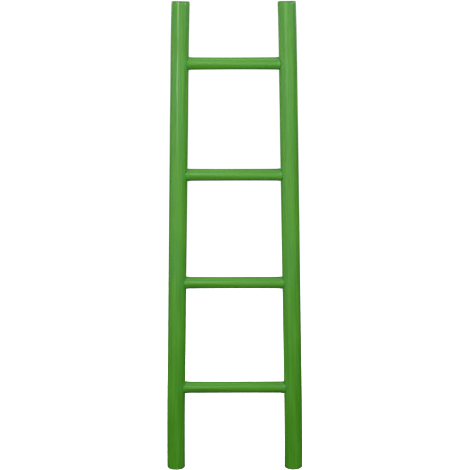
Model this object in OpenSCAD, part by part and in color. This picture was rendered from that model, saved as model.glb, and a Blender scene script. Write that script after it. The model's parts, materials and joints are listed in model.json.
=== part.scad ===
// Climbing ladder with two round wooden rails and round rungs.
//
// The rails lean in towards the top. Each rung is a plain dowel, glued into a
// blind mortise in each rail and held there by a wood screw that is driven
// from the rail's outer side. A wooden plug, trimmed flush, hides the screw.
//
// Millimetres. +Z is up, X runs along the rungs and the front faces -Y. The
// origin is on the floor, midway between the feet.

/* [Ladder] */
// Number of rungs
rung_count = 4; // [2:1:8]
// Height of one rung's axis above the next
rung_pitch = 300; // [200:5:380]
// Height of the lowest rung's axis above the floor
first_rung_h = 235; // [120:1:400]
// Rail above the highest rung's axis
top_overhang = 164; // [60:1:400]
// Distance between the rail axes at the floor
foot_spacing = 336; // [240:1:500]
// Distance between the rail axes at the top
top_spacing = 283; // [220:1:420]

/* [Rails] */
// Diameter of a rail
rail_d = 50; // [42:1:70]
// Radius of the rounded edge at the foot of a rail
foot_edge_r = 6; // [2:0.5:9]
// Radius of the rounded edge at the top of a rail
top_edge_r = 3; // [1:0.5:8]
// Wood left between a mortise and the plug's hole behind it
mortise_web = 10; // [4:1:20]

/* [Rungs] */
// Diameter of a rung
rung_d = 33; // [22:1:38]
// Chamfer on a rung's end
rung_chamfer = 1.5; // [0.5:0.5:4]
// Radial gap that the glue fills between a rung and its mortise
glue_gap = 0.1; // [0.05:0.05:0.3]
// Gap between a rung's end and the bottom of its mortise
end_gap = 0.5; // [0.2:0.1:1]

/* [Screws] */
// Diameter over the thread
thread_d = 5; // [4:0.5:6]
// Diameter of the core between the threads
core_d = 3.2; // [2.4:0.1:3.6]
// Length of a screw, with its head
screw_l = 60; // [45:5:80]
// Length of the threaded part, with its point
thread_l = 38; // [20:1:38]
// Height of one thread above the next
thread_pitch = 2.5; // [1.8:0.1:3.5]
// Length of the point
point_l = 6; // [3:1:8]
// Diameter of the countersunk head
head_d = 9.6; // [8:0.1:11.6]
// Height of the head's straight rim
head_rim = 0.4; // [0.2:0.1:0.8]
// Width of the cross recess in the head
recess_w = 4.6; // [3:0.2:6]
// Width of one slot of the cross recess
recess_slot = 0.9; // [0.6:0.1:1.4]
// Depth of the cross recess
recess_depth = 2.4; // [1:0.2:2.8]
// Gap between a screw and the wood round it
screw_gap = 0.05; // [0.05:0.05:0.1]

/* [Plugs] */
// Diameter of a plug
plug_d = 12; // [10:0.5:16]
// Depth of the plug's hole, from the outer side of the rail
plug_depth = 8; // [6:0.5:9]
// Radial gap between a plug and its hole
plug_gap = 0.05; // [0.05:0.05:0.2]
// Gap between a plug and the screw's head
plug_end_gap = 0.2; // [0.1:0.1:0.5]

/* [Hidden] */
$fn = 96;
SIDES = ["left", "right"];
RUNGS = [1 : rung_count];

paint = "#4c9328";
screw_steel = "#c9c4a8";
rail_r = rail_d / 2;
rung_r = rung_d / 2;
thread_r = thread_d / 2;
core_r = core_d / 2;
head_r = head_d / 2;
plug_r = plug_d / 2;
ladder_h = first_rung_h + (rung_count - 1) * rung_pitch + top_overhang;
splay = atan((foot_spacing - top_spacing) / 2 / ladder_h);
rail_l = ladder_h / cos(splay);
// The floor cut takes at least this much off the foot's lowest edge
least_trim = 0.1;
// A rail is drawn this much too long, and its foot is then cut level
foot_trim = rail_r * tan(splay) + least_trim;
head_cone_h = head_r - core_r;
thread_count = floor((thread_l - point_l) / thread_pitch);
thread_start = screw_l - point_l - thread_count * thread_pitch;
// One thread's outline: its radius, and its height as a share of the pitch
THREAD = [[core_r, 0], [thread_r, 0.35], [thread_r, 0.5], [core_r, 0.85]];
// A cut runs this far past the face that it opens
past = 1;
// A rail is this much wider along X than its radius, because it leans
rail_half_x = rail_r / cos(splay);

function sign_of(side) = side == "left" ? -1 : 1;
function rung_z(i) = first_rung_h + (i - 1) * rung_pitch;
// Distance of a rail's axis from the middle of the ladder, at a height
function rail_x(z) = (foot_spacing - (foot_spacing - top_spacing) * z / ladder_h) / 2;
// Distances of the bottoms of a plug's hole and of a mortise from the middle
function plug_seat(i) = rail_x(rung_z(i)) + rail_half_x - plug_depth;
function mortise_end(i) = plug_seat(i) - mortise_web;

// A solid of revolution's outline: a bar from 0 to l with rounded ends
module bar_outline(r, l, low_r, high_r) {
    translate([0, low_r]) square([r, l - low_r - high_r]);
    translate([0, low_r]) square([r - high_r, l - low_r]);
    square([r - low_r, l - high_r]);
    translate([r - low_r, low_r]) circle(low_r);
    translate([r - high_r, l - high_r]) circle(high_r);
}

// Stands a rail's own shapes, drawn along Z from the floor, in their place
module on_rail(side) {
    translate([sign_of(side) * foot_spacing / 2, 0, 0])
        rotate([0, -sign_of(side) * splay, 0])
            children();
}

// Points +Z outwards along rung i's axis, on one side, from a distance x
module outwards(side, i, x) {
    translate([sign_of(side) * x, 0, rung_z(i)])
        rotate([0, sign_of(side) * 90, 0])
            children();
}

// Points +Z inwards along rung i's axis, on one side, from a distance x
module inwards(side, i, x) {
    translate([sign_of(side) * x, 0, rung_z(i)])
        rotate([0, -sign_of(side) * 90, 0])
            children();
}

module pole(side) {
    on_rail(side)
        translate([0, 0, -foot_trim])
            rotate_extrude()
                bar_outline(rail_r, rail_l + foot_trim, foot_edge_r, top_edge_r);
}

module floor_cut(side) {
    translate([sign_of(side) * foot_spacing / 2 - rail_d, -rail_d, -rail_d])
        cube([2 * rail_d, 2 * rail_d, rail_d]);
}

module mortise(side, i) {
    inwards(side, i, mortise_end(i))
        cylinder(r = rung_r + glue_gap, h = rail_d);
}

module plug_hole(side, i) {
    outwards(side, i, plug_seat(i))
        cylinder(r = plug_r, h = plug_depth + past);
}

// The screw's body without its recess, from its head at 0 to its point.
// gap grows it evenly, for the hole that it makes in the wood.
module screw_body(gap = 0) {
    root = core_r + gap;
    threads = [
        for (n = [0 : thread_count - 1], p = THREAD)
            [p[0] + gap, thread_start + (n + p[1]) * thread_pitch]
    ];
    rotate_extrude()
        polygon(concat(
            [[0, -gap], [head_r + gap, -gap], [head_r + gap, head_rim]],
            [[root, head_rim + head_cone_h]],
            threads,
            [[root, screw_l - point_l], [0, screw_l + gap]]
        ));
}

module cross_recess() {
    for (turn = [0, 90])
        rotate([0, 0, turn])
            translate([-recess_w / 2, -recess_slot / 2, -past])
                cube([recess_w, recess_slot, recess_depth + past]);
}

module rail(side) {
    color(paint)
        difference() {
            pole(side);
            floor_cut(side);
            for (i = RUNGS) {
                mortise(side, i);
                plug_hole(side, i);
                inwards(side, i, plug_seat(i)) screw_body(screw_gap);
            }
        }
}

module rung(i) {
    half_l = mortise_end(i) - end_gap;
    color(paint)
        difference() {
            translate([0, 0, rung_z(i)])
                rotate([0, 90, 0])
                    rotate_extrude()
                        polygon([
                            [0, -half_l],
                            [rung_r - rung_chamfer, -half_l],
                            [rung_r, -half_l + rung_chamfer],
                            [rung_r, half_l - rung_chamfer],
                            [rung_r - rung_chamfer, half_l],
                            [0, half_l]
                        ]);
            for (side = SIDES)
                inwards(side, i, plug_seat(i)) screw_body(screw_gap);
        }
}

module screw(side, i) {
    color(screw_steel)
        inwards(side, i, plug_seat(i))
            difference() {
                screw_body();
                cross_recess();
            }
}

module plug(side, i) {
    color(paint)
        intersection() {
            pole(side);
            outwards(side, i, plug_seat(i) + plug_end_gap)
                cylinder(r = plug_r - plug_gap, h = plug_depth + past);
        }
}

rail("left");  // rail_left
rail("right");  // rail_right
for (i = RUNGS) {
    rung(i);
    screw("left", i);
    screw("right", i);
    plug("left", i);
    plug("right", i);
}
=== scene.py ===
"""Looks of a painted wooden climbing ladder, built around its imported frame."""

import json
import math

import bmesh
import bpy
from bpy.props import FloatProperty, FloatVectorProperty, IntProperty, PointerProperty
from mathutils import Matrix, Vector, noise


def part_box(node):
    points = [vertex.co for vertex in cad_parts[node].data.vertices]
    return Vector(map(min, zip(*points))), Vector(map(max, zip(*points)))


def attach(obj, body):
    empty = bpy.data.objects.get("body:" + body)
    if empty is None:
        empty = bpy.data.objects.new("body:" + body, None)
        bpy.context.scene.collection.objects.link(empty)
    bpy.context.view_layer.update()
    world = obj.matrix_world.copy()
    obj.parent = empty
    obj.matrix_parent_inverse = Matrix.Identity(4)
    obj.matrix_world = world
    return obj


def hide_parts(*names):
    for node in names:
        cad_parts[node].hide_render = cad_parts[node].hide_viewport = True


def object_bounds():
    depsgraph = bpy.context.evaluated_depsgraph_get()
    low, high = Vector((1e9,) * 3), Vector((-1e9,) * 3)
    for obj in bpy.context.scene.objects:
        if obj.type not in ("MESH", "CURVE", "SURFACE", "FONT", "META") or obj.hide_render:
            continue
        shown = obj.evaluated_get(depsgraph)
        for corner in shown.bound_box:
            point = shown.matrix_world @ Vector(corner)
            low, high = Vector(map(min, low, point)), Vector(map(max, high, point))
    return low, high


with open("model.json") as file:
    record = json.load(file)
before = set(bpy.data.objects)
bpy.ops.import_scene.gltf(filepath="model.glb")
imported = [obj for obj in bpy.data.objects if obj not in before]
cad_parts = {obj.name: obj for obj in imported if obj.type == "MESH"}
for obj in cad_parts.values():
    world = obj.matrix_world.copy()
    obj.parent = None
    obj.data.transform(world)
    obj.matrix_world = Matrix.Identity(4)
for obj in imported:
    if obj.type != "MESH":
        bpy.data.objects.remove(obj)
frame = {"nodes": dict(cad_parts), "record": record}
CAD_LOW, CAD_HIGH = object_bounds()

bl_info = {
    "name": "Painted Wooden Ladder",
    "version": (1, 0, 0),
    "blender": (4, 5, 0),
    "location": "View3D > Sidebar > Ladder",
    "description": "Builds a ladder of round rails and rungs in brushed green paint",
    "category": "Add Mesh",
}

MM = 0.001
SIDES = {"left": -1, "right": 1}
RUNGS = sorted(int(name.split("_")[1]) for name in frame["nodes"] if name.startswith("rung_"))
MOUNTS = {mount["name"]: mount for mount in frame["record"]["mounts"]}
FOOT_X = abs(MOUNTS["foot_left"]["pos_m"][0])

# Clearances that the frame leaves between the pieces of a joint
RUNG_END_GAP = 0.5 * MM
GLUE_FILM = 0.1 * MM
PLUG_END_GAP = 0.2 * MM
PLUG_FILM = 0.05 * MM
SCREW_FILM = 0.05 * MM

# Screws, whose holes are cut in the wood
SCREW_CORE = 1.6 * MM
SCREW_THREAD = 2.5 * MM
HEAD_RIM = 0.4 * MM

# A cutter reaches this far past the surface that it opens
CUT_PAST = 30 * MM
# Corners closer than this to a pole's axis stay where they are
ON_AXIS = 0.1 * MM
# Glue collars and plugs end this far under the surface that they lie on
SUNK = 0.05 * MM

# Length of the slow waves in a hand-finished surface, and of the ridges that a brush leaves
WAVE_LENGTH = 110 * MM
RIDGE_LENGTH = 160 * MM

# Faces round each lathed piece, apart from the rails
CUTTER_STEPS = 72
RUNG_STEPS = 96
COLLAR_STEPS = 120
PLUG_STEPS = 64
BACKDROP_STEPS = 96

# Spacing of the growth rings, and how many of them they wander over
RING_SPACING = 3.4 * MM
RING_WANDER = 2.4

# Sizes of the patterns in the paint, across the grain and along it
RING_BEND = (30 * MM, 220 * MM)
FIBRE = (0.9 * MM, 60 * MM)
STREAK = (5 * MM, 190 * MM)
PATCH = (24 * MM, 120 * MM)
FLECK = (3 * MM, 5 * MM)
COOL_STREAK = (9 * MM, 150 * MM)
DAB = (3.2 * MM, 4.2 * MM)
RUN = (2.6 * MM, 420 * MM)
SWAY = (300 * MM, 130 * MM)

# Height of each pattern in the paint's relief
RING_RELIEF = 0.035 * MM
FIBRE_RELIEF = 0.05 * MM
STREAK_RELIEF = 0.12 * MM
RUN_RELIEF = 0.16 * MM
DAB_RELIEF = 0.5 * MM
CHIP_RELIEF = 0.09 * MM

LIGHT_SIZE = 1.1
LIGHT_DISTANCE = 2.7
# Height that the lights surround, as a share of the ladder's height
LIGHT_CENTRE = 0.65
SKY_STRENGTH = 0.06

# The backdrop's flat floor, the bend around it and the wall's top
FLOOR_REACH = 9
BACKDROP_BEND = 3
WALL_TOP = 14


# ---------------------------------------------------------------- the frame's own places

def rung_height(number):
    """Height of a rung's axis."""
    low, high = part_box(f"rung_{number}")
    return (low.z + high.z) / 2


def rung_reach(number):
    """Distance of a rung's ends from the middle of the ladder."""
    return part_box(f"rung_{number}")[1].x


def screw_head(side, number):
    """Distance of a screw's head from the middle of the ladder."""
    low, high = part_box(f"screw_{side}_{number}")
    return max(abs(low.x), abs(high.x))


def screw_point(side, number):
    """Distance of a screw's point from the middle of the ladder."""
    low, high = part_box(f"screw_{side}_{number}")
    return min(abs(low.x), abs(high.x))


def lean():
    """Angle by which each rail leans in."""
    first, last = RUNGS[0], RUNGS[-1]
    narrowing = rung_reach(first) - rung_reach(last)
    return math.atan(narrowing / (rung_height(last) - rung_height(first)))


LEAN = lean()


def pole_frame(side):
    """Matrix that stands a pole, drawn along Z from the origin, in a rail's place."""
    sign = SIDES[side]
    return Matrix.Translation((sign * FOOT_X, 0, 0)) @ Matrix.Rotation(-sign * LEAN, 4, "Y")


def rung_frame(number, outwards=1):
    """Matrix that lays a piece, drawn along Z, on a rung's axis."""
    return Matrix.Translation((0, 0, rung_height(number))) @ Matrix.Rotation(
        outwards * math.pi / 2, 4, "Y"
    )


# ---------------------------------------------------------------- settings

class LadderShape(bpy.types.PropertyGroup):
    """Sizes of the wooden pieces."""

    rail_diameter: FloatProperty(
        name="Rail diameter", description="Diameter of each rail",
        default=50 * MM, min=42 * MM, max=70 * MM, unit="LENGTH", precision=4,
    )
    rail_taper: FloatProperty(
        name="Rail taper", description="How much thicker a rail is at its foot than at its top",
        default=2.2 * MM, min=0, max=4 * MM, unit="LENGTH", precision=4,
    )
    foot_bow: FloatProperty(
        name="Foot bow", description="How far a rail's foot bends in",
        default=1.9 * MM, min=0, max=5 * MM, unit="LENGTH", precision=4,
    )
    top_bow: FloatProperty(
        name="Top bow", description="How far a rail's top bends in",
        default=1.0 * MM, min=0, max=5 * MM, unit="LENGTH", precision=4,
    )
    rung_diameter: FloatProperty(
        name="Rung diameter", description="Diameter of each rung at its ends",
        default=33 * MM, min=22 * MM, max=38 * MM, unit="LENGTH", precision=4,
    )
    rung_waist: FloatProperty(
        name="Rung waist", description="How much thinner a rung is at its middle",
        default=1.2 * MM, min=0, max=3 * MM, unit="LENGTH", precision=5,
    )
    plug_diameter: FloatProperty(
        name="Plug diameter", description="Diameter of the plugs over the screws",
        default=12 * MM, min=10 * MM, max=16 * MM, unit="LENGTH", precision=4,
    )
    foot_edge: FloatProperty(
        name="Foot edge", description="Radius of the rounded edge at a rail's foot",
        default=4.5 * MM, min=2 * MM, max=9 * MM, unit="LENGTH", precision=4,
    )
    top_edge: FloatProperty(
        name="Top edge", description="Radius of the rounded edge at a rail's top",
        default=3 * MM, min=1 * MM, max=8 * MM, unit="LENGTH", precision=4,
    )
    waviness: FloatProperty(
        name="Waviness", description="How far a hand-finished surface strays from true",
        default=0.22 * MM, min=0, max=1 * MM, unit="LENGTH", precision=5,
    )
    brush_ridge: FloatProperty(
        name="Brush ridges", description="Height of the ridges that the brush leaves",
        default=0.035 * MM, min=0, max=0.2 * MM, unit="LENGTH", precision=5,
    )
    collar_length: FloatProperty(
        name="Collar length", description="How far the painted-over glue runs along a rung",
        default=9 * MM, min=1 * MM, max=20 * MM, unit="LENGTH", precision=4,
    )
    collar_height: FloatProperty(
        name="Collar height", description="Height of the painted-over glue on a rung",
        default=0.65 * MM, min=0, max=3 * MM, unit="LENGTH", precision=4,
    )
    welt_width: FloatProperty(
        name="Welt width", description="How far the painted-over glue spreads over a rail",
        default=2.8 * MM, min=1 * MM, max=6 * MM, unit="LENGTH", precision=4,
    )
    welt_height: FloatProperty(
        name="Welt height", description="Height of the painted-over glue on a rail",
        default=0.35 * MM, min=0, max=2 * MM, unit="LENGTH", precision=4,
    )
    round_steps: IntProperty(
        name="Round steps", description="Faces around a rail",
        default=120, min=24, max=240, subtype="UNSIGNED",
    )


class LadderPaint(bpy.types.PropertyGroup):
    """Colours and gloss of the paint, the primer under it and the screws."""

    deep: FloatVectorProperty(
        name="Deep green", description="Paint where it lies thick",
        subtype="COLOR", size=3, default=(0.036, 0.192, 0.001), min=0, max=1,
    )
    # Also used on the raised trickles and dabs, where it is partly a painted highlight
    fresh: FloatVectorProperty(
        name="Fresh green", description="Paint where the brush drew it thin",
        subtype="COLOR", size=3, default=(0.058, 0.252, 0.007), min=0, max=1,
    )
    # Also used as painted shade round the joints, and as painted sheen in the streaks towards the
    # top
    cool: FloatVectorProperty(
        name="Cool green", description="Bluish streaks of the first coat",
        subtype="COLOR", size=3, default=(0.032, 0.215, 0.030), min=0, max=1,
    )
    # Also used as a painted highlight along the long run, and as a faint painted sheen towards
    # the top
    primer: FloatVectorProperty(
        name="Primer", description="Pale primer that shows where the paint is chipped",
        subtype="COLOR", size=3, default=(0.42, 0.56, 0.30), min=0, max=1,
    )
    # Painted shade: the dark green painted into the corners of the joints, the hollow beside the
    # long run, the rim at a rail's top and the sides of its foot
    painted_shade: FloatVectorProperty(
        name="Crevice", description="Shade held in the cracks round a joint and at a rail's ends",
        subtype="COLOR", size=3, default=(0.014, 0.095, 0.003), min=0, max=1,
    )
    bloom: FloatVectorProperty(
        name="Bloom", description="Dull bloom on the plating",
        subtype="COLOR", size=3, default=(0.44, 0.43, 0.36), min=0, max=1,
    )
    roughness: FloatProperty(
        name="Roughness", description="Roughness of the paint",
        default=0.44, min=0, max=1, subtype="FACTOR",
    )
    specular: FloatProperty(
        name="Specular", description="Strength of the paint's reflections",
        default=0.38, min=0, max=1, subtype="FACTOR",
    )
    zinc: FloatVectorProperty(
        name="Zinc", description="Plating of the screws",
        subtype="COLOR", size=3, default=(0.62, 0.60, 0.55), min=0, max=1,
    )


class LadderStudio(bpy.types.PropertyGroup):
    """Floor, lights and camera."""

    floor: FloatVectorProperty(
        name="Floor", description="Colour of the floor",
        subtype="COLOR", size=3, default=(0.93, 0.93, 0.925), min=0, max=1,
    )
    floor_glow: FloatProperty(
        name="Floor glow", description="Light of the floor's own, which keeps it pale",
        default=0.97, min=0, max=2, subtype="FACTOR",
    )
    key_power: FloatProperty(
        name="Key light", description="Power of the light high at the front left",
        default=49, min=0, unit="POWER",
    )
    side_power: FloatProperty(
        name="Side light", description="Power of the light high at the right",
        default=34, min=0, unit="POWER",
    )
    low_power: FloatProperty(
        name="Low lights", description="Power of each light at half the ladder's height",
        default=19, min=0, unit="POWER",
    )
    top_power: FloatProperty(
        name="Top light", description="Power of the light above the ladder",
        default=25, min=0, unit="POWER",
    )
    back_power: FloatProperty(
        name="Back lights", description="Power of each light behind the ladder",
        default=28, min=0, unit="POWER",
    )
    camera_distance: FloatProperty(
        name="Camera distance", description="Distance of the camera in front of the ladder",
        default=3.5, min=1, unit="LENGTH",
    )
    camera_height: FloatProperty(
        name="Camera height", description="Height of the camera above the floor",
        default=1.329, min=0, unit="LENGTH",
    )
    camera_aside: FloatProperty(
        name="Camera aside", description="Distance of the camera to the right of the middle",
        default=0.0049, unit="LENGTH",
    )
    camera_dip: FloatProperty(
        name="Camera dip", description="Angle by which the camera looks down",
        default=0.1865, unit="ROTATION",
    )
    camera_turn: FloatProperty(
        name="Camera turn", description="Angle by which the camera turns to the left",
        default=0.0008, unit="ROTATION",
    )
    camera_roll: FloatProperty(
        name="Camera roll", description="Angle by which the camera rolls",
        default=-0.0024, unit="ROTATION",
    )
    camera_lens: FloatProperty(
        name="Focal length", description="Focal length on a 36 mm wide sensor",
        default=99.62, min=10, unit="CAMERA",
    )


# ---------------------------------------------------------------- shader building

class Value:
    """What a node gives out. The usual operators on it add Math nodes."""

    def __init__(self, finish, socket):
        self.finish = finish
        self.socket = socket

    def __add__(self, other):
        return self.finish.math("ADD", self, other)

    def __radd__(self, other):
        return self.finish.math("ADD", other, self)

    def __sub__(self, other):
        return self.finish.math("SUBTRACT", self, other)

    def __rsub__(self, other):
        return self.finish.math("SUBTRACT", other, self)

    def __mul__(self, other):
        return self.finish.math("MULTIPLY", self, other)

    def __rmul__(self, other):
        return self.finish.math("MULTIPLY", other, self)

    def __truediv__(self, other):
        return self.finish.math("DIVIDE", self, other)

    def __pow__(self, other):
        return self.finish.math("POWER", self, other)

    def __abs__(self):
        return self.finish.math("ABSOLUTE", self)

    def sine(self):
        return self.finish.math("SINE", self)

    def at_least(self, other):
        return self.finish.math("MAXIMUM", self, other)


class Finish:
    """A material under construction, around one Principled shader."""

    def __init__(self, name):
        self.material = bpy.data.materials.new(name)
        self.material.use_nodes = True
        self.tree = self.material.node_tree
        self.tree.nodes.clear()
        self.output = self.tree.nodes.new("ShaderNodeOutputMaterial")
        self.shader = self.tree.nodes.new("ShaderNodeBsdfPrincipled")
        self.tree.links.new(self.shader.outputs[0], self.output.inputs["Surface"])

    def node(self, kind, settings=None, inputs=None, output=0):
        """Adds a node, with its settings and then its sockets' values or links."""
        made = self.tree.nodes.new(kind)
        for name, value in (settings or {}).items():
            setattr(made, name, value)
        for name, value in (inputs or {}).items():
            self.feed(made.inputs[name], value)
        return Value(self, made.outputs[output])

    def math(self, operation, first, second=0.0):
        """Adds a Math node."""
        return self.node("ShaderNodeMath", {"operation": operation}, {0: first, 1: second})

    def feed(self, socket, value):
        """Links a value to a socket, or sets the socket to a constant."""
        if isinstance(value, Value):
            self.tree.links.new(value.socket, socket)
        else:
            socket.default_value = value

    def set(self, sockets):
        """Feeds the shader's own sockets, by their names."""
        for name, value in sockets.items():
            self.feed(self.shader.inputs[name], value)

    def colour_mix(self, factor, first, second):
        """Mixes two colours: 0 gives the first and 1 the second."""
        inputs = {0: factor, 6: opaque(first), 7: opaque(second)}
        settings = {"data_type": "RGBA", "clamp_factor": True}
        return self.node("ShaderNodeMix", settings, inputs, output=2)

    def pattern(self, matrix, across, along):
        """Coordinates in a piece's own frame, where a pattern is this large."""
        place, turn, _ = matrix.decompose()
        whole = self.node("ShaderNodeTexCoord", output=3)
        return self.node(
            "ShaderNodeMapping",
            {"vector_type": "TEXTURE"},
            {"Vector": whole, "Location": place, "Rotation": turn.to_euler(),
             "Scale": (across, across, along)},
        )

    def cloud(self, where, detail=2.0, roughness=0.5, distortion=0.0):
        """Smooth noise from 0 to 1."""
        return self.node(
            "ShaderNodeTexNoise",
            {"noise_dimensions": "3D"},
            {"Vector": where, "Scale": 1.0, "Detail": detail, "Roughness": roughness,
             "Distortion": distortion},
        )

    def spread(self, value, low, high):
        """Eases a value from 0 at low to 1 at high."""
        return self.node(
            "ShaderNodeMapRange",
            {"interpolation_type": "SMOOTHSTEP"},
            {0: value, 1: low, 2: high},
        )

    def axes(self, where):
        """The three parts of a vector."""
        parts = self.tree.nodes.new("ShaderNodeSeparateXYZ")
        self.feed(parts.inputs[0], where)
        return [Value(self, socket) for socket in parts.outputs]

    def ladder_axes(self):
        """X, Y and Z in metres in the ladder's own frame."""
        return self.axes(self.pattern(Matrix.Identity(4), 1.0, 1.0))

    def from_joint(self):
        """Distance in metres from the line where the nearest rung enters its rail."""
        shape = bpy.context.scene.ladder_shape
        x, y, z = self.ladder_axes()
        pitch = rung_height(RUNGS[1]) - rung_height(RUNGS[0])
        above = self.math("PINGPONG", z - rung_height(RUNGS[0]), pitch / 2)
        off_rung = (above ** 2 + y ** 2) ** 0.5 - shape.rung_diameter / 2
        inwards = FOOT_X - z * math.tan(LEAN) - abs(x)
        off_rail = (inwards ** 2 + y ** 2) ** 0.5 - shape.rail_diameter / 2
        outer_side = self.math("LESS_THAN", inwards, 0.0)
        return (off_rung ** 2 + off_rail ** 2) ** 0.5 + outer_side

    def relief(self, height):
        """Normal of a surface whose height is given in metres."""
        inputs = {"Strength": 1.0, "Distance": 1.0, "Height": height}
        return self.node("ShaderNodeBump", inputs=inputs)


def opaque(colour):
    """A colour as a Mix node's socket takes it."""
    return colour if isinstance(colour, Value) else (*colour, 1.0)


# ---------------------------------------------------------------- finishes

def brushed_paint(name, matrix, pith, ends, wear_and_shade=1.0, mottle=0.0, drip=None):
    """Semi-gloss paint, brushed along a wooden piece whose grain runs along Z of matrix.

    pith is the middle of the growth rings, ends the lowest and highest place along Z,
    wear_and_shade how much the ends are chipped and scuffed and how dark their painted shade is,
    mottle how blotchy the paint is, and drip the X of a long run.
    """
    paint = bpy.context.scene.ladder_paint
    finish = Finish(name)
    x, y, z = finish.axes(finish.pattern(matrix, 1.0, 1.0))
    low, high = ends

    # Growth rings run along the piece as stripes, and show as rings on its end grain
    bend = finish.cloud(finish.pattern(matrix, *RING_BEND), detail=2.0)
    ring_radius = ((x - pith[0]) ** 2 + (y - pith[1]) ** 2) ** 0.5
    rings = ((ring_radius / RING_SPACING + bend * RING_WANDER) * (2 * math.pi)).sine()
    latewood = finish.spread(rings, 0.35, 1.0)

    # Fibres, brush streaks and broader patches of the coat
    fibre = finish.cloud(finish.pattern(matrix, *FIBRE), detail=3.0, roughness=0.6)
    streak = finish.cloud(finish.pattern(matrix, *STREAK), detail=3.0, distortion=0.4)
    patch = finish.cloud(finish.pattern(matrix, *PATCH), detail=2.0)
    thin = finish.spread(streak * 0.7 + patch * 0.3, 0.38, 0.64)
    coat = finish.colour_mix(thin, paint.deep, paint.fresh)

    # Cool streaks of the first coat, and painted sheen: the streaks grow stronger towards the
    # ladder's top and a pale tint is added there, so the coat is lighter and bluer up there
    up = finish.ladder_axes()[2]
    painted_top_sheen = finish.spread(up, 0.1 * CAD_HIGH.z, 0.9 * CAD_HIGH.z)
    coolness = finish.spread(finish.cloud(finish.pattern(matrix, *COOL_STREAK)), 0.46, 0.66)
    coat = finish.colour_mix(coolness * (0.14 + painted_top_sheen * 0.5), coat, paint.cool)
    # Painted sheen: a faint pale tint that grows towards the top
    painted_top_haze = finish.spread(up, 0.1 * CAD_HIGH.z, 0.42 * CAD_HIGH.z)
    coat = finish.colour_mix(painted_top_haze * 0.02, coat, paint.primer)
    coat = finish.colour_mix(latewood * 0.16, coat, paint.deep)
    coat = finish.colour_mix(finish.spread(fibre, 0.58, 0.78) * 0.3, coat, paint.fresh)

    # Paint that pools round the joints and lies there in dabs. Painted shade: each joint's corner
    # is painted dark and the paint round it is tinted cool green; the lighter dabs are paint and
    # partly a painted highlight on their lumps
    joint = finish.from_joint()
    pooled_and_shade = finish.spread(joint, 11 * MM, 3 * MM)
    dabs = finish.cloud(finish.pattern(matrix, *DAB), detail=3.0)
    dabs_and_highlight = (pooled_and_shade * 1.2 + mottle) * finish.spread(dabs, 0.46, 0.6)
    # Painted shade: dark in the corner where a rung meets its rail
    joint_shade = finish.spread(joint + dabs * (3.2 * MM), 4.6 * MM, 1.8 * MM)
    joint_shade = joint_shade * finish.spread(patch, 0.25, 0.75)
    # Painted shade tints the paint round each joint cool green
    coat = finish.colour_mix(pooled_and_shade * 0.55, coat, paint.cool)
    coat = finish.colour_mix(dabs_and_highlight, coat, paint.fresh)
    coat = finish.colour_mix(joint_shade, coat, paint.painted_shade)

    # Thin trickles of paint that stand up a little and catch the light; they are also painted
    # lighter, which is partly a painted highlight
    drag = finish.cloud(finish.pattern(matrix, *RUN), detail=1.0)
    runs_and_highlight = finish.spread(drag, 0.6, 0.68)
    coat = finish.colour_mix(runs_and_highlight * 0.6, coat, paint.fresh)
    if drip is not None:
        # One long run down the front of the piece's top, raised and painted pale as a painted
        # highlight, and the hollow beside it, sunk and painted dark as painted shade
        sway = finish.cloud(finish.pattern(matrix, *SWAY), detail=1.0)
        beside = x + (sway - 0.5) * (7 * MM) - drip
        on_front = finish.spread(y, 0, -4 * MM) * finish.spread(z, 0.66 * high, 0.84 * high)
        broken = finish.spread(patch, 0.36, 0.6) * on_front
        line = finish.spread(abs(beside), 1.5 * MM, 0.5 * MM) * broken
        hollow = finish.spread(abs(beside - 4.6 * MM), 2.6 * MM, 0.8 * MM) * broken
        # Painted highlight along the run, and painted shade in the hollow beside it
        coat = finish.colour_mix(line * 0.38, coat, paint.primer)
        coat = finish.colour_mix(hollow * 0.34, coat, paint.painted_shade)
        runs_and_highlight = runs_and_highlight + line - hollow * 0.5

    # Painted shade: a dark rim at the top and dark sides at the foot. The foot's edge is scuffed
    outwards = (x ** 2 + y ** 2) ** 0.5
    rim = finish.spread(z, high - 4 * MM, high - 1.5 * MM) * wear_and_shade
    rim = rim * finish.spread(outwards, 20 * MM, 22.5 * MM)
    foot_shade = finish.spread(z, low + 13 * MM, low + 3 * MM) * wear_and_shade
    foot_shade = foot_shade * finish.spread(abs(x), 13 * MM, 23 * MM)
    scuff = finish.spread(z, low + 3.4 * MM, low + 1.6 * MM) * wear_and_shade
    # Painted shade at the top rim and on the foot's sides
    coat = finish.colour_mix(rim * 0.6, coat, paint.painted_shade)
    coat = finish.colour_mix(foot_shade * 0.55, coat, paint.painted_shade)
    coat = finish.colour_mix(scuff * 0.3, coat, paint.primer)

    # Chips at the ends, and a few small ones elsewhere
    fleck = finish.cloud(finish.pattern(matrix, *FLECK), detail=4.0, roughness=0.7)
    near_top = finish.spread(z, high - 26 * MM, high - 1 * MM)
    near_foot = finish.spread(z, low + 12 * MM, low + 1 * MM)
    worn = near_top.at_least(near_foot * 0.6) * (0.16 * wear_and_shade) + fleck
    chips = finish.spread(worn, 0.735, 0.775) * (1.0 - rim)
    coat = finish.colour_mix(chips * 0.75, coat, paint.primer)

    height = (
        latewood * RING_RELIEF + fibre * FIBRE_RELIEF + streak * STREAK_RELIEF
        + runs_and_highlight * RUN_RELIEF + pooled_and_shade * dabs * DAB_RELIEF - chips * CHIP_RELIEF
    )
    gloss = paint.roughness + (fibre - 0.5) * 0.22 + (patch - 0.5) * 0.16 + chips * 0.25
    finish.set({
        "Base Color": coat,
        "Roughness": gloss,
        "Specular IOR Level": paint.specular,
        "Normal": finish.relief(height),
    })
    return finish.material


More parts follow.
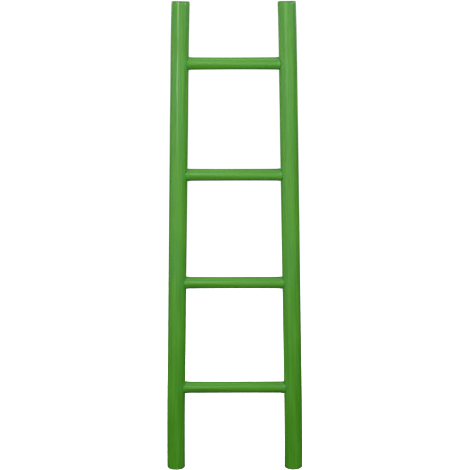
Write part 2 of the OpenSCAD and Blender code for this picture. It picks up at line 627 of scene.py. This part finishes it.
def zinc_plate():
    """Dull zinc plating with a cloudy bloom."""
    paint = bpy.context.scene.ladder_paint
    finish = Finish("zinc_plate")
    bloom = finish.cloud(finish.pattern(Matrix.Identity(4), 1.6 * MM, 1.6 * MM), detail=4.0)
    turned = finish.cloud(finish.pattern(Matrix.Rotation(math.pi / 2, 4, "Y"), 9 * MM, 0.2 * MM))
    colour = finish.colour_mix(finish.spread(bloom, 0.35, 0.7), paint.zinc, paint.bloom)
    finish.set({
        "Base Color": colour,
        "Metallic": 1.0,
        "Roughness": 0.30 + bloom * 0.25,
        "Normal": finish.relief(turned * (0.01 * MM)),
    })
    return finish.material


# ---------------------------------------------------------------- mesh building

def lathe(mesh, outline, steps, closed=False):
    """Turns an outline of (radius, height) points round Z, and closes its poles."""
    corners = [mesh.verts.new((radius, 0, height)) for radius, height in outline]
    lines = [mesh.edges.new(pair) for pair in zip(corners, corners[1:])]
    if closed:
        lines.append(mesh.edges.new((corners[-1], corners[0])))
    bmesh.ops.spin(
        mesh, geom=corners + lines, cent=(0, 0, 0), axis=(0, 0, 1), dvec=(0, 0, 0),
        angle=2 * math.pi, steps=steps, use_merge=True, use_normal_flip=False,
        use_duplicate=False,
    )
    bmesh.ops.remove_doubles(mesh, verts=mesh.verts, dist=0.002 * MM)
    bmesh.ops.recalc_face_normals(mesh, faces=mesh.faces)


def arc(centre, radius, start, end, steps):
    """Points on an arc, from angle start to angle end, both included."""
    return [
        (
            centre[0] + radius * math.cos(start + (end - start) * step / steps),
            centre[1] + radius * math.sin(start + (end - start) * step / steps),
        )
        for step in range(steps + 1)
    ]


def stretch(start, end, longest):
    """Points from start to end, start left out, no further apart than longest."""
    steps = max(1, math.ceil(math.dist(start, end) / longest))
    return [
        tuple(a + (b - a) * step / steps for a, b in zip(start, end))
        for step in range(1, steps + 1)
    ]


def path(*corners, longest):
    """Points along straight lines between corners."""
    points = [corners[0]]
    for start, end in zip(corners, corners[1:]):
        points += stretch(start, end, longest)
    return points


def axis_distance(corner):
    """Distance of a corner from Z."""
    return math.hypot(corner.co.x, corner.co.y)


def widen(corner, share):
    """Moves a corner out from Z, to this share of its distance."""
    corner.co.x *= share
    corner.co.y *= share


def finish_piece(name, mesh, material, slot, *nodes, sharp=35):
    """Makes a closed mesh an object that rides on the ladder and stands for the frame's nodes."""
    bmesh.ops.recalc_face_normals(mesh, faces=mesh.faces)
    if mesh.calc_volume(signed=True) < 0:
        bmesh.ops.reverse_faces(mesh, faces=mesh.faces)
    data = bpy.data.meshes.new(name)
    mesh.to_mesh(data)
    mesh.free()
    data.shade_smooth()
    data.set_sharp_from_angle(angle=math.radians(sharp))
    data.materials.append(material)
    piece = bpy.data.objects.new(name, data)
    bpy.context.scene.collection.objects.link(piece)
    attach(piece, "root")
    if nodes:
        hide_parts(*nodes)
    return piece


def stray(point, seed):
    """How far a hand-finished pole's surface strays from true at a point of its own frame."""
    shape = bpy.context.scene.ladder_shape
    turn = Vector((point.x, point.y, 0)).normalized()
    slow = Vector((turn.x * 0.9, turn.y * 0.9, point.z / WAVE_LENGTH + seed))
    ridge = Vector((turn.x * 7, turn.y * 7, point.z / RIDGE_LENGTH + seed * 3))
    return shape.waviness * noise.noise(slow) + shape.brush_ridge * noise.noise(ridge)


RAIL_SEED = {"left": 3.7, "right": 41.3}


def rail_swell(side, point):
    """How far a rail's surface lies outside its nominal round, at a point of its own frame."""
    shape = bpy.context.scene.ladder_shape
    height = point.z / CAD_HIGH.z
    return stray(point, RAIL_SEED[side]) + shape.rail_taper * (0.18 - height / 2)


def rail_face(side, y, z):
    """X of the surface that a rail turns to the rungs, at a place across and up from there."""
    shape = bpy.context.scene.ladder_shape
    radius = shape.rail_diameter / 2
    sign = SIDES[side]
    axis_x = FOOT_X - z * math.tan(LEAN)
    half = math.sqrt(max(radius ** 2 - y ** 2, 0)) / math.cos(LEAN)
    point = pole_frame(side).inverted() @ Vector((sign * (axis_x - half), y, z))
    half += rail_swell(side, point) * radius / max(half, radius / 3)
    return sign * (axis_x - half)


# ---------------------------------------------------------------- pieces

def rail_outline(radius, low, high, shape):
    """Outline of a pole with rounded ends, from its low end's middle to its high end's."""
    foot = shape.foot_edge
    top = shape.top_edge
    points = path((0, low), (radius - foot, low), longest=4 * MM)
    points += arc((radius - foot, low + foot), foot, -math.pi / 2, 0, 7)[1:]
    points += stretch((radius, low + foot), (radius, high - top), 4 * MM)
    points += arc((radius - top, high - top), top, 0, math.pi / 2, 5)[1:]
    points += stretch((radius - top, high), (0, high), 3 * MM)
    return points


def joint_cutter(mesh, side, shape):
    """Adds the stepped hole of each joint: plug hole, countersink, screw hole and mortise."""
    sign = SIDES[side]
    for number in RUNGS:
        cutter = bmesh.new()
        head = screw_head(side, number)
        low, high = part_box(f"screw_{side}_{number}")
        head_radius = (high.y - low.y) / 2 + SCREW_FILM
        mortise = rung_reach(number) + RUNG_END_GAP
        hole = SCREW_CORE + SCREW_FILM
        bore = shape.rung_diameter / 2 + GLUE_FILM
        plug = shape.plug_diameter / 2
        outline = [
            (0, head + CUT_PAST),
            (plug, head + CUT_PAST),
            (plug, head),
            (head_radius, head),
            (head_radius, head - HEAD_RIM),
            (hole, head - HEAD_RIM - (head_radius - hole)),
            (hole, mortise),
            (bore, mortise),
            (bore, mortise - shape.rail_diameter - CUT_PAST),
            (0, mortise - shape.rail_diameter - CUT_PAST),
        ]
        lathe(cutter, outline, CUTTER_STEPS)
        cutter.transform(rung_frame(number, sign))
        part = bpy.data.meshes.new("cutter_part")
        cutter.to_mesh(part)
        cutter.free()
        mesh.from_mesh(part)
        bpy.data.meshes.remove(part)


def cut_away(piece, cutter_mesh):
    """Takes a cutter's shape out of a piece, and keeps the result as the piece's mesh."""
    data = bpy.data.meshes.new("cutter")
    cutter_mesh.to_mesh(data)
    cutter_mesh.free()
    cutter = bpy.data.objects.new("cutter", data)
    bpy.context.scene.collection.objects.link(cutter)
    cut = piece.modifiers.new("joints", "BOOLEAN")
    cut.operation = "DIFFERENCE"
    cut.solver = "EXACT"
    cut.object = cutter
    bpy.context.view_layer.update()
    depsgraph = bpy.context.evaluated_depsgraph_get()
    result = bpy.data.meshes.new_from_object(piece.evaluated_get(depsgraph))
    piece.modifiers.remove(cut)
    piece.data = result
    bpy.data.objects.remove(cutter)
    result.shade_smooth()
    result.set_sharp_from_angle(angle=math.radians(35))


class LADDER_OT_rails(bpy.types.Operator):
    """Make both rails: leaning poles with rounded ends, cut for the rungs, screws and plugs"""

    bl_idname = "ladder.rails"
    bl_label = "Rails"

    def execute(self, context):
        shape = context.scene.ladder_shape
        radius = shape.rail_diameter / 2
        length = (CAD_HIGH.z - (radius - shape.top_edge) * math.sin(LEAN)) / math.cos(LEAN)
        # The pole starts below the floor, so that its leaning foot can be cut level
        trim = radius * math.tan(LEAN) + 0.1 * MM
        below = rung_height(RUNGS[0]) - shape.rail_diameter / 2
        above = rung_height(RUNGS[-1]) + shape.rail_diameter / 2
        for side, pith, drip in (
            ("left", (7 * MM, -9 * MM), -4.5 * MM), ("right", (-10 * MM, -4 * MM), None)
        ):
            mesh = bmesh.new()
            lathe(mesh, rail_outline(radius, -trim, length, shape), shape.round_steps)
            for corner in mesh.verts:
                out = axis_distance(corner)
                if out > ON_AXIS:
                    widen(corner, 1 + rail_swell(side, corner.co) * out / radius ** 2)
            mesh.transform(pole_frame(side))
            for corner in mesh.verts:
                corner.co.x -= SIDES[side] * self.bow(corner.co.z, below, above, shape)
            bmesh.ops.bisect_plane(
                mesh, geom=mesh.verts[:] + mesh.edges[:] + mesh.faces[:], dist=0.001 * MM,
                plane_co=(0, 0, 0), plane_no=(0, 0, -1), clear_outer=True,
            )
            rim = [edge for edge in mesh.edges if edge.is_boundary]
            bmesh.ops.holes_fill(mesh, edges=rim, sides=0)
            material = brushed_paint(
                f"rail_paint_{side}", pole_frame(side), pith, (0, length), drip=drip
            )
            rail = finish_piece(f"rail_{side}_wood", mesh, material, "rail_paint", f"rail_{side}")
            cutter = bmesh.new()
            joint_cutter(cutter, side, shape)
            cut_away(rail, cutter)
        return {"FINISHED"}

    def bow(self, height, below, above, shape):
        """How far a rail bends in at a height. It's straight between its joints."""
        if height < below:
            return shape.foot_bow * ((below - height) / below) ** 2
        if height > above:
            return shape.top_bow * ((height - above) / (CAD_HIGH.z - above)) ** 2
        return 0


class LADDER_OT_rungs(bpy.types.Operator):
    """Make the rungs: dowels with a slight waist, and a pilot hole in each end"""

    bl_idname = "ladder.rungs"
    bl_label = "Rungs"

    def execute(self, context):
        shape = context.scene.ladder_shape
        radius = shape.rung_diameter / 2
        chamfer = 1.5 * MM
        for number in RUNGS:
            reach = rung_reach(number)
            pilot = SCREW_THREAD + SCREW_FILM
            depth = screw_point("left", number) - SCREW_FILM
            outline = [(0, -depth), (pilot, -depth)]
            outline += stretch((pilot, -depth), (pilot, -reach), 6 * MM)
            outline += stretch((pilot, -reach), (radius - chamfer, -reach), 4 * MM)
            outline += [(radius, chamfer - reach)]
            outline += stretch((radius, chamfer - reach), (radius, reach - chamfer), 3 * MM)
            outline += [(radius - chamfer, reach)]
            outline += stretch((radius - chamfer, reach), (pilot, reach), 4 * MM)
            outline += stretch((pilot, reach), (pilot, depth), 6 * MM)
            outline += [(0, depth)]
            mesh = bmesh.new()
            lathe(mesh, outline, RUNG_STEPS)
            inner_face = FOOT_X - rung_height(number) * math.tan(LEAN) - shape.rail_diameter / 2
            for corner in mesh.verts:
                along = min(abs(corner.co.z) / inner_face, 1)
                if axis_distance(corner) > pilot + ON_AXIS:
                    widen(corner, 1 - shape.rung_waist / 2 * (1 - along ** 2) / radius)
            seed = number * 7.9
            roughen_rung(mesh, radius, seed, pilot, inner_face)
            mesh.transform(rung_frame(number))
            pith = (4 * MM * math.cos(seed), 4 * MM * math.sin(seed))
            material = brushed_paint(
                f"rung_paint_{number}", rung_frame(number), pith, (-reach, reach), wear_and_shade=0
            )
            finish_piece(f"rung_{number}_wood", mesh, material, "rung_paint", f"rung_{number}")
        return {"FINISHED"}


def roughen_rung(mesh, radius, seed, inside, inner_face):
    """Roughens a rung between the rails, and leaves its ends true to their mortises."""
    for corner in mesh.verts:
        room = (inner_face + 8 * MM - abs(corner.co.z)) / (12 * MM)
        share = min(max(room, 0), 1)
        if axis_distance(corner) > inside + ON_AXIS and share > 0:
            widen(corner, 1 + stray(corner.co, seed) * share / radius)


class LADDER_OT_glue_collars(bpy.types.Operator):
    """Make the painted-over glue in each joint: a collar on the rung and a welt on the rail"""

    bl_idname = "ladder.glue_collars"
    bl_label = "Glue collars"

    def execute(self, context):
        shape = context.scene.ladder_shape
        for side, sign in SIDES.items():
            for number in RUNGS:
                seed = number * 5.3 + sign * 2.1
                centre = rung_height(number)
                mesh = bmesh.new()
                lathe(mesh, self.outline(shape), COLLAR_STEPS, closed=True)
                for corner in mesh.verts:
                    self.lay(corner, side, centre, seed, shape)
                material = brushed_paint(
                    f"collar_paint_{side}_{number}", rung_frame(number), (0, 0), (-1, 1),
                    wear_and_shade=0, mottle=0.2,
                )
                finish_piece(
                    f"glue_collar_{side}_{number}", mesh, material, "rung_paint", sharp=70
                )
        return {"FINISHED"}

    def outline(self, shape):
        """A collar's outline, as distance from the rung's axis and height above the rail."""
        radius = shape.rung_diameter / 2
        root = 0.5 * MM
        collar_parts = 16
        welt_parts = 8
        outline = [(radius - root, -root), (radius - root, shape.collar_length)]
        for step in range(collar_parts + 1):
            share = step / collar_parts
            swell = math.sin(math.pi * share ** 1.6)
            outline.append((
                radius + shape.collar_height * swell - SUNK,
                shape.collar_length * (1 - share),
            ))
        for step in range(1, welt_parts + 1):
            share = step / welt_parts
            swell = math.sin(math.pi * share ** 0.7)
            outline.append((
                radius + shape.welt_width * share, shape.welt_height * swell - SUNK
            ))
        outline.append((radius + shape.welt_width, -root))
        return outline

    def lay(self, corner, side, centre, seed, shape):
        """Lays a corner of a collar, drawn round Z on a flat face, against the round rail."""
        radius = shape.rung_diameter / 2
        out = axis_distance(corner)
        turn = Vector((corner.co.x, corner.co.y, 0)) / out
        rise = corner.co.z
        ragged = noise.noise(Vector((turn.x * 1.7, turn.y * 1.7, seed)))
        fine = noise.noise(Vector((turn.x * 5, turn.y * 5, seed + 9)))
        lumps = noise.noise(Vector((turn.x * 9, turn.y * 9, seed + rise * 420)))
        length = noise.noise(Vector((turn.x * 2, turn.y * 2, seed + 5)))
        if out > radius:
            thick = 1 + 0.5 * ragged + 0.5 * fine
            if rise > shape.welt_height:
                out = radius + (out - radius) * (thick + 0.9 * lumps)
            else:
                out = radius + (out - radius) * (1 + 0.35 * ragged + 0.2 * fine)
                rise *= max(thick + 0.8 * lumps, 0.2)
        if rise > shape.welt_height:
            rise *= 1 + 0.35 * length + 0.2 * fine
        y = turn.y * out
        z = centre + turn.x * out
        corner.co = Vector((rail_face(side, y, z) - SIDES[side] * rise, y, z))


class LADDER_OT_plugs(bpy.types.Operator):
    """Make the plugs over the screws, trimmed to the rails' round"""

    bl_idname = "ladder.plugs"
    bl_label = "Plugs"

    def execute(self, context):
        shape = context.scene.ladder_shape
        radius = shape.plug_diameter / 2 - PLUG_FILM
        rail_radius = shape.rail_diameter / 2
        edge = 0.35 * MM
        dome = 0.12 * MM
        for side, sign in SIDES.items():
            place = pole_frame(side)
            back = place.inverted()
            for number in RUNGS:
                seat = screw_head(side, number) + PLUG_END_GAP
                height = rung_height(number)
                outer = FOOT_X - height * math.tan(LEAN) + rail_radius
                outline = path((0, seat), (radius - edge, seat), longest=2 * MM)
                outline += [(radius, seat + edge), (radius, outer - 2 * MM)]
                outline += path((radius, outer), (radius - edge, outer), longest=1 * MM)
                outline += stretch((radius - edge, outer), (0, outer), 0.9 * MM)
                mesh = bmesh.new()
                lathe(mesh, outline, PLUG_STEPS)
                mesh.transform(rung_frame(number, sign))
                # Lay the outer face on the rail's round, a little domed and with a worn edge
                for corner in mesh.verts:
                    if abs(corner.co.x) > outer - 1 * MM:
                        out = math.hypot(corner.co.y, corner.co.z - height)
                        inset = edge if out > radius - edge / 2 else 0
                        local = back @ corner.co
                        face = rail_radius + rail_swell(side, local)
                        face += dome * (1 - (out / radius) ** 2) - inset
                        local.x = sign * math.sqrt(face ** 2 - local.y ** 2)
                        corner.co = place @ local
                material = brushed_paint(
                    f"plug_paint_{side}_{number}", rung_frame(number, sign),
                    (9 * MM, 3 * MM), (-1, 1), wear_and_shade=0, mottle=0.2,
                )
                finish_piece(
                    f"plug_{side}_{number}_wood", mesh, material, "plug_paint",
                    f"plug_{side}_{number}",
                )
        return {"FINISHED"}


class LADDER_OT_screws(bpy.types.Operator):
    """Give the screws, which the frame holds, their zinc plating"""

    bl_idname = "ladder.screws"
    bl_label = "Screws"

    def execute(self, context):
        plating = zinc_plate()
        for side in SIDES:
            for number in RUNGS:
                screw = frame["nodes"][f"screw_{side}_{number}"]
                for slot in screw.material_slots:
                    slot.material = plating
        return {"FINISHED"}


def area_light(name, turn, height, centre, power):
    """A soft light, turned to the ladder: turn is counted from the front to the right."""
    data = bpy.data.lights.new(name, "AREA")
    data.shape = "SQUARE"
    data.size = LIGHT_SIZE
    data.energy = power
    light = bpy.data.objects.new(name, data)
    bpy.context.scene.collection.objects.link(light)
    away = Vector((
        math.sin(turn) * math.cos(height), -math.cos(turn) * math.cos(height), math.sin(height)
    ))
    light.location = Vector((0, 0, centre)) + away * LIGHT_DISTANCE
    light.rotation_euler = (-away).to_track_quat("-Z", "Y").to_euler()
    light.visible_camera = False


class LADDER_OT_studio(bpy.types.Operator):
    """Make the floor, the soft lights and the camera"""

    bl_idname = "ladder.studio"
    bl_label = "Studio"

    def execute(self, context):
        studio = context.scene.ladder_studio
        self.backdrop(context, studio)
        self.world(context)
        centre = CAD_HIGH.z * LIGHT_CENTRE
        # Each light's name, turn and height in degrees, and power
        lights = (
            ("key", -20, 22, studio.key_power),
            ("side", 60, 22, studio.side_power),
            ("low_left", -75, 0, studio.low_power),
            ("low_front_left", -20, 0, studio.low_power),
            ("low_front_right", 30, 0, studio.low_power * 0.8),
            ("top", 0, 89, studio.top_power),
            ("back_left", -130, 25, studio.back_power),
            ("back_right", 130, 25, studio.back_power),
        )
        for name, turn, height, power in lights:
            area_light(name, math.radians(turn), math.radians(height), centre, power)
        self.camera(context, studio)
        context.scene.view_settings.view_transform = "Standard"
        context.scene.view_settings.look = "None"
        return {"FINISHED"}

    def backdrop(self, context, studio):
        """Makes the floor, which bends up into a wall all round."""
        mesh = bmesh.new()
        outline = [(0, 0)] + path((1, 0), (FLOOR_REACH, 0), longest=1)
        outline += arc((FLOOR_REACH, BACKDROP_BEND), BACKDROP_BEND, -math.pi / 2, 0, 12)[1:]
        outline += [(FLOOR_REACH + BACKDROP_BEND, WALL_TOP)]
        lathe(mesh, outline, BACKDROP_STEPS)
        bmesh.ops.reverse_faces(mesh, faces=mesh.faces)
        data = bpy.data.meshes.new("backdrop")
        mesh.to_mesh(data)
        mesh.free()
        data.shade_smooth()
        backdrop = bpy.data.objects.new("backdrop", data)
        context.scene.collection.objects.link(backdrop)
        finish = Finish("backdrop")
        finish.set({
            "Base Color": (*studio.floor, 1),
            "Roughness": 0.9,
            "Specular IOR Level": 0.1,
            "Emission Color": (1, 1, 1, 1),
            "Emission Strength": studio.floor_glow,
        })
        data.materials.append(finish.material)
        backdrop.visible_diffuse = False
        backdrop.visible_glossy = False

    def world(self, context):
        """Makes the faint light that comes from all sides."""
        world = bpy.data.worlds.new("studio")
        context.scene.world = world
        world.use_nodes = True
        sky = world.node_tree.nodes["Background"]
        sky.inputs["Color"].default_value = (1, 1, 1, 1)
        sky.inputs["Strength"].default_value = SKY_STRENGTH

    def camera(self, context, studio):
        """Places the camera in front of the ladder."""
        data = bpy.data.cameras.new("camera")
        data.sensor_width = 36
        data.lens = studio.camera_lens
        camera = bpy.data.objects.new("camera", data)
        context.scene.collection.objects.link(camera)
        camera.matrix_world = (
            Matrix.Translation(
                (studio.camera_aside, -studio.camera_distance, studio.camera_height)
            )
            @ Matrix.Rotation(studio.camera_turn, 4, "Z")
            @ Matrix.Rotation(math.pi / 2 - studio.camera_dip, 4, "X")
            @ Matrix.Rotation(studio.camera_roll, 4, "Z")
        )
        context.scene.camera = camera


class LADDER_PT_panel(bpy.types.Panel):
    """Lists the ladder's pieces and settings"""

    bl_idname = "LADDER_PT_panel"
    bl_label = "Painted Wooden Ladder"
    bl_space_type = "VIEW_3D"
    bl_region_type = "UI"
    bl_category = "Ladder"

    def draw(self, context):
        layout = self.layout
        for group in (context.scene.ladder_shape, context.scene.ladder_paint,
                      context.scene.ladder_studio):
            box = layout.box()
            for name in group.bl_rna.properties.keys():
                if name not in ("rna_type", "name"):
                    box.prop(group, name)
        for operator in OPERATORS:
            layout.operator(operator.bl_idname)


GROUPS = {
    "ladder_shape": LadderShape,
    "ladder_paint": LadderPaint,
    "ladder_studio": LadderStudio,
}
OPERATORS = (
    LADDER_OT_rails,
    LADDER_OT_rungs,
    LADDER_OT_glue_collars,
    LADDER_OT_plugs,
    LADDER_OT_screws,
    LADDER_OT_studio,
)


def register():
    for name, group in GROUPS.items():
        bpy.utils.register_class(group)
        setattr(bpy.types.Scene, name, PointerProperty(type=group))
    for operator in OPERATORS:
        bpy.utils.register_class(operator)
    bpy.utils.register_class(LADDER_PT_panel)


def unregister():
    bpy.utils.unregister_class(LADDER_PT_panel)
    for operator in reversed(OPERATORS):
        bpy.utils.unregister_class(operator)
    for name, group in reversed(GROUPS.items()):
        delattr(bpy.types.Scene, name)
        bpy.utils.unregister_class(group)


def main():
    """Builds the whole scene."""
    register()
    bpy.ops.ladder.rails()
    bpy.ops.ladder.rungs()
    bpy.ops.ladder.glue_collars()
    bpy.ops.ladder.plugs()
    bpy.ops.ladder.screws()
    bpy.ops.ladder.studio()


if __name__ == "__main__":
    main()
